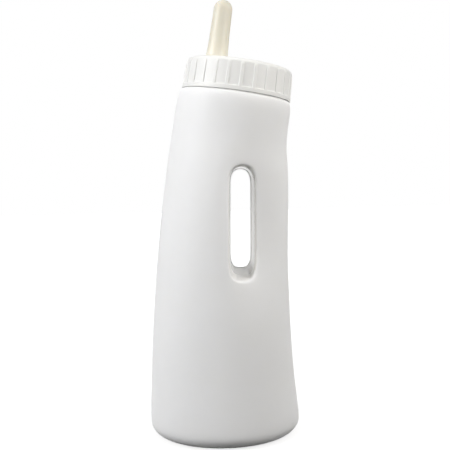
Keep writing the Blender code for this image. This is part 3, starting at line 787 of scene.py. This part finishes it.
# %% Valve cage
BALL_RADIUS = 3.0 * MM
BALL_TRAVEL = 1.2 * MM
BALL_HEIGHT = CAP_UNDERSIDE - math.sqrt(BALL_RADIUS ** 2 - VENT_HOLE ** 2) - CLEAR_GAP - BALL_TRAVEL
SLOT_WIDTH = 1.2 * MM
SLOT_LENGTH = 5.8 * MM
BAR_HEIGHT = 12 * MM
PLUG_EDGE = 0.3 * MM
PLATE_EDGE = 0.2 * MM
PLATE_HEIGHT = 1.2 * MM

plug_top = BALL_HEIGHT - CLEAR_GAP - math.sqrt(BALL_RADIUS ** 2 - SLOT_WIDTH ** 2 / 2)
plug = TUBE_INNER - CLEAR_GAP
plate_top = TUBE_FOOT - CLEAR_GAP
plate_foot = plate_top - PLATE_HEIGHT
cage_profile = [
    (plug - PLUG_EDGE, plug_top), (plug, plug_top - PLUG_EDGE), (plug, plate_top),
    (TUBE_OUTER - PLATE_EDGE, plate_top), (TUBE_OUTER, plate_top - PLATE_EDGE),
    (TUBE_OUTER, plate_foot + PLATE_EDGE), (TUBE_OUTER - PLATE_EDGE, plate_foot)]
cage = turned_piece("valve_cage", cage_profile, 48)
for long_side, short_side in ((SLOT_LENGTH, SLOT_WIDTH), (SLOT_WIDTH, SLOT_LENGTH)):
    bpy.ops.object.select_all(action="DESELECT")
    bpy.ops.mesh.primitive_cube_add(size=1.0, location=(0.0, 0.0, plate_top),
                                    scale=(long_side, short_side, BAR_HEIGHT))
    bpy.ops.object.transform_apply()
    boolean(cage, bpy.context.object)
smooth(cage, 35)
seat_on_neck(cage, VENT_ASIDE)
print("cage faces:", len(cage.data.polygons))
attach(cage, "cap")
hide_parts("vent_cage")

# %% [markdown]
# The ball is a 6 mm bearing ball. A cube with even cuts, drawn out to a sphere, has even quads and
# none of the crowded poles of a ready-made sphere, so its polish shows no stars.

# %% Valve ball
bpy.ops.object.select_all(action="DESELECT")
bpy.ops.mesh.primitive_cube_add(size=2 * BALL_RADIUS / math.sqrt(3))
ball = bpy.context.object
ball.name = "valve_ball"
edit(ball)
bpy.ops.mesh.select_all(action="SELECT")
bpy.ops.mesh.subdivide(number_cuts=15)
bpy.ops.transform.tosphere(value=1.0)
leave_edit()
ball.data.shade_smooth()
reach = max(vert.co.length for vert in ball.data.vertices)
ball.scale = (BALL_RADIUS / reach,) * 3
ball.location.z = BALL_HEIGHT
bpy.ops.object.transform_apply()
seat_on_neck(ball, VENT_ASIDE)
print("ball diameter in mm:", round(max(ball.dimensions) / MM, 2))
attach(ball, "ball")
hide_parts("vent_ball")

# %% [markdown]
# ## Materials
# Colours are written as sRGB hex codes, as a colour card gives them, and one function turns them to the
# linear values that nodes use. Another adds a node with its settings and links, and the rest are for
# what every material here needs: noise, a relief, a colour between two tones, and a surface.

# %% Material helpers
def linear(code):
    """Linear colour, as nodes need it, of an sRGB hex code."""
    values = [int(code[place:place + 2], 16) / 255 for place in (1, 3, 5)]
    return [v / 12.92 if v <= 0.04045 else ((v + 0.055) / 1.055) ** 2.4 for v in values] + [1.0]


def new_material(name):
    """Material with an empty node tree."""
    material = bpy.data.materials.new(name)
    material.use_nodes = True
    material.node_tree.nodes.clear()
    return material


def add(material, kind, inputs=None, **settings):
    """Adds a node, sets it, and fills its inputs with values or links."""
    node = material.node_tree.nodes.new("ShaderNode" + kind)
    for name, value in settings.items():
        setattr(node, name, value)
    for name, value in (inputs or {}).items():
        if isinstance(value, bpy.types.NodeSocket):
            material.node_tree.links.new(value, node.inputs[name])
        else:
            node.inputs[name].default_value = value
    return node


def noise(material, size, detail):
    """Noise from 0 to 1 with a grain of a size, fixed to the piece."""
    place = add(material, "TexCoord").outputs["Object"]
    inputs = {"Vector": place, "Scale": 1 / size, "Detail": detail}
    return add(material, "TexNoise", inputs).outputs["Fac"]


def spread(material, value, low, high):
    """A value from 0 to 1, spread between two others."""
    return add(material, "MapRange", {"Value": value, "To Min": low, "To Max": high}).outputs["Result"]


def tone_between(material, value, low, high):
    """Colour between two hex codes, where the value from 0 to 1 says how far."""
    ramp = add(material, "ValToRGB", {"Fac": value})
    ramp.color_ramp.elements[0].color = linear(low)
    ramp.color_ramp.elements[1].color = linear(high)
    return ramp.outputs["Color"]


def relief(material, height, strength, depth, **under):
    """Normal of a shallow relief, which may lie on the normal of another one."""
    inputs = {"Height": height, "Strength": strength, "Distance": depth, **under}
    return add(material, "Bump", inputs).outputs["Normal"]


def surface(material, inputs):
    """Gives a material its surface shader, and returns the material."""
    shader = add(material, "BsdfPrincipled", inputs)
    add(material, "OutputMaterial", {"Surface": shader.outputs["BSDF"]})
    return material


# %% [markdown]
# Natural high-density polyethylene has no pigment, so the wall is milky: light goes in, scatters for a
# few millimetres and comes out again. That softens the shadows and keeps the whole bottle bright. The
# mould was sand-blasted, which leaves a satin grain, and blowing leaves very shallow waves. The pins that
# pinch the slot are polished so that they let go, and its walls are smoother for it. A mask made from
# distances to the slot's middle tells the two apart, because a second material would leave a hard line.
# The inside never touched the mould, so it has the waves and hardly any grain.

# %% Natural polyethylene
SLOT_POLISH = (("X", 12 * MM, 15 * MM), ("Y", 26 * MM, 36 * MM), ("Z", 44 * MM, 50 * MM))
SATIN_ROUGHNESS = 0.55
POLISHED_ROUGHNESS = 0.18


def slot_mask(material):
    """Value that is 1 on the walls of the slot and fades to 0 on the rest of the bottle."""
    place = add(material, "TexCoord").outputs["Object"]
    apart = add(material, "VectorMath", {0: place, 1: SLOT_MIDDLE}, operation="SUBTRACT")
    apart = add(material, "VectorMath", {0: apart.outputs[0]}, operation="ABSOLUTE")
    apart = add(material, "SeparateXYZ", {"Vector": apart.outputs[0]}).outputs
    mask = 1.0
    for axis, full, none in SLOT_POLISH:
        share = add(material, "MapRange", {"Value": apart[axis], "From Min": full, "From Max": none,
                                           "To Min": 1.0, "To Max": 0.0})
        mask = add(material, "Math", {0: share.outputs[0], 1: mask}, operation="MULTIPLY").outputs[0]
    return mask


def natural_polyethylene(name, grain_strength):
    """Milky blow-moulded HDPE with waves from the blowing and a grain from the mould."""
    material = new_material(name)
    waves = noise(material, size=24 * MM, detail=1.0)
    grain = noise(material, size=0.6 * MM, detail=2.0)
    wavy = relief(material, waves, strength=0.25, depth=0.3 * MM)
    return surface(material, {
        "Base Color": tone_between(material, waves, "#F8F7F3", "#FDFCF8"),
        "Roughness": spread(material, slot_mask(material), SATIN_ROUGHNESS, POLISHED_ROUGHNESS),
        "IOR": 1.54,
        "Subsurface Weight": 1.0,
        "Subsurface Radius": (1.0, 0.99, 0.96),
        "Subsurface Scale": 3 * MM,
        "Normal": relief(material, grain, grain_strength, depth=0.02 * MM, Normal=wavy)})


blown_outside = natural_polyethylene("blown_natural_hdpe", 0.12)
body.data.materials[0] = blown_outside
body.data.materials[1] = natural_polyethylene("blown_natural_hdpe_inside", 0.02)
neck_thread.data.materials.append(blown_outside)
bead.data.materials.append(blown_outside)
print("body materials:", [material.name for material in body.data.materials])

# %% [markdown]
# The cap is polypropylene with a white pigment, moulded in polished steel that has dulled a little. It
# is denser than the bottle, so light goes in less far. Handling has scuffed it very slightly, which
# shows as a patchy gloss and hardly as a colour.

# %% White polypropylene
def white_polypropylene(name):
    """Injection-moulded white PP with a satin gloss and light scuffs."""
    material = new_material(name)
    scuffs = noise(material, size=9 * MM, detail=3.0)
    skin = noise(material, size=0.4 * MM, detail=2.0)
    return surface(material, {
        "Base Color": tone_between(material, scuffs, "#E9E9E7", "#EEEEEC"),
        "Roughness": spread(material, scuffs, 0.36, 0.48),
        "IOR": 1.49,
        "Subsurface Weight": 0.35,
        "Subsurface Radius": (1.0, 0.97, 0.93),
        "Subsurface Scale": 0.6 * MM,
        "Normal": relief(material, skin, strength=0.06, depth=0.02 * MM)})


moulded_white = white_polypropylene("moulded_white_polypropylene")
for piece in (cap, cap_thread, cage):
    piece.data.materials.append(moulded_white)

# %% [markdown]
# The teat is a pale cream rubber without filler. It is soft and slightly waxy: warm light scatters
# below its surface, and fine powder from the mould leaves a dull, uneven bloom.

# %% Cream rubber
def cream_rubber(name):
    """Moulded pale rubber with a waxy bloom."""
    material = new_material(name)
    bloom = noise(material, size=5 * MM, detail=4.0)
    pores = noise(material, size=0.35 * MM, detail=2.0)
    return surface(material, {
        "Base Color": tone_between(material, bloom, "#DAD5C5", "#E0DCCD"),
        "Roughness": spread(material, bloom, 0.32, 0.48),
        "IOR": 1.52,
        "Subsurface Weight": 0.5,
        "Subsurface Radius": (1.0, 0.85, 0.65),
        "Subsurface Scale": 3 * MM,
        "Normal": relief(material, pores, strength=0.12, depth=0.03 * MM)})


teat.data.materials.append(cream_rubber("moulded_cream_rubber"))

# %% [markdown]
# The seal is a grey filled rubber, quite matt, with specks of filler. The ball is stainless bearing
# steel: a metal, so its colour is in its reflection, with the faint, uneven haze of lapping.

# %% Seal rubber and ball steel
def seal_rubber(name):
    """Matt grey rubber with specks of filler."""
    material = new_material(name)
    specks = noise(material, size=0.5 * MM, detail=3.0)
    return surface(material, {
        "Base Color": tone_between(material, specks, "#93938F", "#A8A8A3"),
        "Roughness": 0.7,
        "IOR": 1.52,
        "Normal": relief(material, specks, strength=0.2, depth=0.03 * MM)})


def bearing_steel(name):
    """Lapped stainless steel of a valve ball."""
    material = new_material(name)
    haze = noise(material, size=0.8 * MM, detail=3.0)
    return surface(material, {
        "Base Color": tone_between(material, haze, "#C3C3C5", "#CDCDCF"),
        "Metallic": 1.0,
        "Roughness": spread(material, haze, 0.1, 0.22)})


seal.data.materials.append(seal_rubber("moulded_grey_seal_rubber"))
ball.data.materials.append(bearing_steel("lapped_stainless_steel"))

# %% [markdown]
# ## Stage and light
# The photograph has a plain white ground. More lamps would make it white too, but they would burn out
# the bottle. So the ground is told apart by the kind of ray: the camera, and a mirror or clear piece,
# sees it white, while the light that falls back from it on to the bottle stays low, as in the photograph.

# %% Rays that see the background
def background_rays(owner):
    """Signal that is 1 for rays that show the background: straight, mirrored or let through."""
    rays = add(owner, "LightPath").outputs
    shown = rays["Is Camera Ray"]
    for kind in ("Is Glossy Ray", "Is Transmission Ray"):
        shown = add(owner, "Math", {0: shown, 1: rays[kind]}, operation="MAXIMUM").outputs[0]
    return shown


# %% [markdown]
# The floor is pale paper. Its own glow is a little weaker round the bottle, so that the lamps bring it
# just to white there and the bottle's soft shadow shows, and it runs out to white further off. For the
# light that it throws back, the paper is dark.

# %% Floor
FLOOR_HALF = 4.0
SHADOW_REACH = (0.25, 1.6)
GLOW_AT_BOTTLE = 0.74
PAPER_TONES = (0.08, 0.35)

bpy.ops.object.select_all(action="DESELECT")
bpy.ops.mesh.primitive_plane_add(size=2 * FLOOR_HALF, location=(0.0, 0.0, 0.0))
floor = bpy.context.object
floor.name = "floor"
floor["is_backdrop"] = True
paper = new_material("white_paper")
shown = background_rays(paper)
away = add(paper, "VectorMath", {0: add(paper, "TexCoord").outputs["Object"]}, operation="LENGTH")
brightness = add(paper, "MapRange", {
    "Value": away.outputs["Value"], "From Min": SHADOW_REACH[0], "From Max": SHADOW_REACH[1],
    "To Min": GLOW_AT_BOTTLE, "To Max": 1.0})
glow_level = add(paper, "Math", {0: shown, 1: brightness.outputs["Result"]}, operation="MULTIPLY")
lit = add(paper, "BsdfDiffuse", {"Color": spread(paper, shown, *PAPER_TONES)})
glow = add(paper, "Emission", {"Color": (1, 1, 1, 1), "Strength": glow_level.outputs[0]})
both = add(paper, "AddShader", {0: lit.outputs[0], 1: glow.outputs[0]})
add(paper, "OutputMaterial", {"Surface": both.outputs[0]})
floor.data.materials.append(paper)

# %% [markdown]
# In the photograph the bottle is bright on its left and falls off evenly to the right. One large soft
# box on the left does that. A small, slightly warmer one on the right, close by, keeps the shade side
# open. Two weak ones stand behind: one lights the right edge and the back, and one, high up, the top of
# the cap. The world is the room, an even grey.

# %% World and soft boxes
BOTTLE_MIDDLE = Vector((0.0, 0.0, 0.16))
WARM = (1.0, 0.975, 0.93)
ROOM_LEVEL = 0.46

world = bpy.data.worlds.new("studio")
world.use_nodes = True
bpy.context.scene.world = world
world.node_tree.nodes.clear()
level = spread(world, background_rays(world), ROOM_LEVEL, 1.0)
room = add(world, "Background", {"Color": (1, 1, 1, 1), "Strength": level})
add(world, "OutputWorld", {"Surface": room.outputs[0]})


def soft_box(name, location, size, watts, colour=(1.0, 1.0, 1.0)):
    """Square soft box that looks at the middle of the bottle."""
    aim = (BOTTLE_MIDDLE - Vector(location)).to_track_quat("-Z", "Y")
    bpy.ops.object.light_add(type="AREA", location=location, rotation=aim.to_euler())
    light = bpy.context.object
    light.name = name
    light.data.size = size
    light.data.energy = watts
    light.data.color = colour
    print(name, "at", location, "with", watts, "W")


soft_box("main_light", (-0.95, -0.42, 0.7), 0.75, 10.9)
soft_box("fill_light", (0.5, -0.34, 0.5), 0.4, 2.6, WARM)
soft_box("back_light", (0.8, 0.95, 0.7), 0.9, 4.0)
soft_box("top_light", (-0.5, 0.7, 1.4), 0.7, 2.0)
bpy.context.scene.view_settings.view_transform = "Standard"

# %% [markdown]
# A white bottle on white would lose its outline, because at a grazing angle its skin mirrors the white
# ground. Photographers set grey flags round the picture, just outside it, and the edges mirror these
# instead: a thin grey line. The three flags here are seen by gloss alone, and cast no shadow.

# %% Grey flags
FLAG_WIDTH = 1.2
FLAG_HEIGHT = 1.6
FLAG_GAP = 0.17
FLAG_BEHIND = 0.55
FLAG_FOOT = 0.42
FLAG_MIDDLE = 0.5
FLAG_GREY = 0.2

felt = new_material("grey_flag_felt")
shade = add(felt, "Emission", {"Color": (1, 1, 1, 1), "Strength": FLAG_GREY})
add(felt, "OutputMaterial", {"Surface": shade.outputs[0]})
aside = FLAG_GAP + FLAG_WIDTH / 2
flags = (("flag_left", -aside, FLAG_MIDDLE, FLAG_WIDTH),
         ("flag_right", aside, FLAG_MIDDLE, FLAG_WIDTH),
         ("flag_top", 0.0, FLAG_FOOT + FLAG_HEIGHT / 2, 2 * FLAG_GAP))
for name, across, height, width in flags:
    bpy.ops.object.select_all(action="DESELECT")
    bpy.ops.mesh.primitive_plane_add(size=1.0, rotation=(math.pi / 2, 0.0, 0.0),
                                     location=(across, FLAG_BEHIND, height))
    flag = bpy.context.object
    flag.name = name
    flag.scale = (width, FLAG_HEIGHT, 1.0)
    flag.data.materials.append(felt)
    flag.visible_camera = False
    flag.visible_diffuse = False
    flag.visible_shadow = False
    flag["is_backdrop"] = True
print("window between the flags in m:", 2 * FLAG_GAP, "wide,", FLAG_FOOT, "high")

# %% [markdown]
# ## Size
# The size of the box round the dressed bottle is printed. The dressed bottle has to stay
# inside the box of its solids.

# %% Write the sizes
low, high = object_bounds()
print("visual box in mm:", [round(side / MM, 1) for side in high - low])
